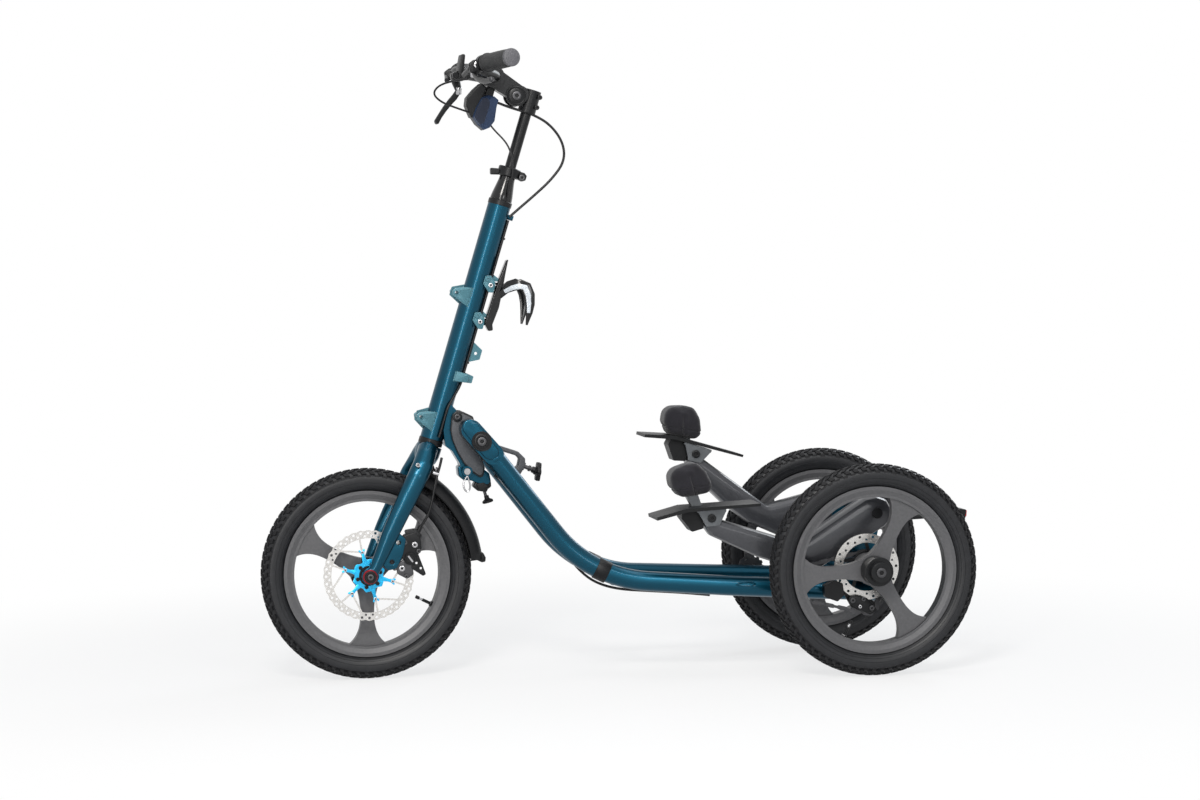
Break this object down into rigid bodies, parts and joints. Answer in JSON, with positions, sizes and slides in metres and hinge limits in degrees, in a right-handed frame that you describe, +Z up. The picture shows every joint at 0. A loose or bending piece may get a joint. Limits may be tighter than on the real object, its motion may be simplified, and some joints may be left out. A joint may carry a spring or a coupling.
{
  "type": "folding stepper tricycle",
  "caption": "Three-wheeled stand-up scooter driven by two foot levers, with a tall steering column that folds back over a twin-tube frame.",
  "frame": {"origin": "on the ground, in the middle of the overall length and of the width", "axes": "+X forward, +Y to the rider's left, +Z up"},
  "size_m": [1.3763, 0.608, 1.1852],
  "materials": {
    "black_metal": "satin black",
    "black_plastic": "matte",
    "bracket_grey": "satin",
    "frame_paint": "metallic teal blue, gloss",
    "grip_rubber": "matte",
    "lamp_shell": "gloss blue-grey",
    "lever_grey": "satin dark grey",
    "pad_fabric": "stretch cloth over foam",
    "rotor_steel": "ground steel",
    "steel": "satin",
    "tyre": "matte tread rubber",
    "wheel_grey": "satin grey casting"
  },
  "bodies": {
    "frame": {"chain_left": "steel", "chain_pulley_left": "steel", "chain_pulley_right": "steel", "chain_right": "steel", "chain_tensioner_left": "steel", "chain_tensioner_right": "steel", "clamp_bracket": "bracket_grey", "fold_bolt": "black_metal", "frame_cable": "black_plastic", "lever_shaft": "steel", "main_frame": "frame_paint", "rear_axle": "steel", "rear_caliper_left": "black_plastic", "rear_caliper_right": "black_plastic", "tail_lamp": "black_plastic", "tail_lamp_arm": "black_metal"},
    "column": {"bottle_cage": "black_plastic", "column_cable": "black_plastic", "head_tube": "frame_paint", "hinge_plates": "bracket_grey", "latch_pin": "steel", "latch_plunger": "black_metal", "lower_bearing": "black_metal", "upper_bearing": "black_metal"},
    "steering": {"bar_cable": "black_plastic", "brake_lever_left": "black_metal", "brake_lever_right": "black_metal", "column_cone": "black_metal", "display": "black_plastic", "fork": "frame_paint", "front_axle": "steel", "front_caliper": "black_plastic", "front_hose": "black_plastic", "front_mudguard": "black_plastic", "grip_left": "grip_rubber", "grip_right": "grip_rubber", "handlebar": "black_metal", "headlamp": "lamp_shell", "post": "black_metal", "post_clamp": "black_metal", "stem": "black_metal"},
    "front_wheel": {"front_rotor": "rotor_steel", "front_tyre": "tyre", "front_wheel_casting": "wheel_grey"},
    "rear_wheel_left": {"rear_rotor_left": "rotor_steel", "rear_tyre_left": "tyre", "rear_wheel_casting_left": "wheel_grey"},
    "rear_wheel_right": {"rear_rotor_right": "rotor_steel", "rear_tyre_right": "tyre", "rear_wheel_casting_right": "wheel_grey"},
    "lever_left": {"foot_pad_left": "pad_fabric", "foot_plate_left": "black_plastic", "lever_arm_left": "lever_grey", "plate_bracket_left": "bracket_grey"},
    "lever_right": {"foot_pad_right": "pad_fabric", "foot_plate_right": "black_plastic", "lever_arm_right": "lever_grey", "plate_bracket_right": "bracket_grey"}
  },
  "joints": [
    {"name": "column_fold", "type": "hinge", "parent": "frame", "child": "column", "pos_m": [0.27, 0, 0.448], "axis": [0, -1, 0], "range_deg": [0, 70]},
    {"name": "steer", "type": "hinge", "parent": "column", "child": "steering", "pos_m": [0.365, 0, 0.437], "axis": [-0.2957, 0, 0.9553], "range_deg": [-40, 40]},
    {"name": "front_wheel_spin", "type": "hinge", "parent": "steering", "child": "front_wheel", "pos_m": [0.488, 0, 0.2005], "axis": [0, 1, 0], "continuous": true},
    {"name": "rear_wheel_left_spin", "type": "hinge", "parent": "frame", "child": "rear_wheel_left", "pos_m": [-0.448, 0.21, 0.2005], "axis": [0, 1, 0], "continuous": true},
    {"name": "rear_wheel_right_spin", "type": "hinge", "parent": "frame", "child": "rear_wheel_right", "pos_m": [-0.448, -0.21, 0.2005], "axis": [0, 1, 0], "continuous": true},
    {"name": "lever_left_step", "type": "hinge", "parent": "frame", "child": "lever_left", "pos_m": [-0.475, 0.112, 0.3], "axis": [0, -1, 0], "range_deg": [-4, 23]},
    {"name": "lever_right_step", "type": "hinge", "parent": "frame", "child": "lever_right", "pos_m": [-0.475, -0.112, 0.3], "axis": [0, -1, 0], "range_deg": [-23, 4]}
  ],
  "couplings": [
    {"joint": "lever_right_step", "follows": "lever_left_step", "ratio": -1}
  ]
}
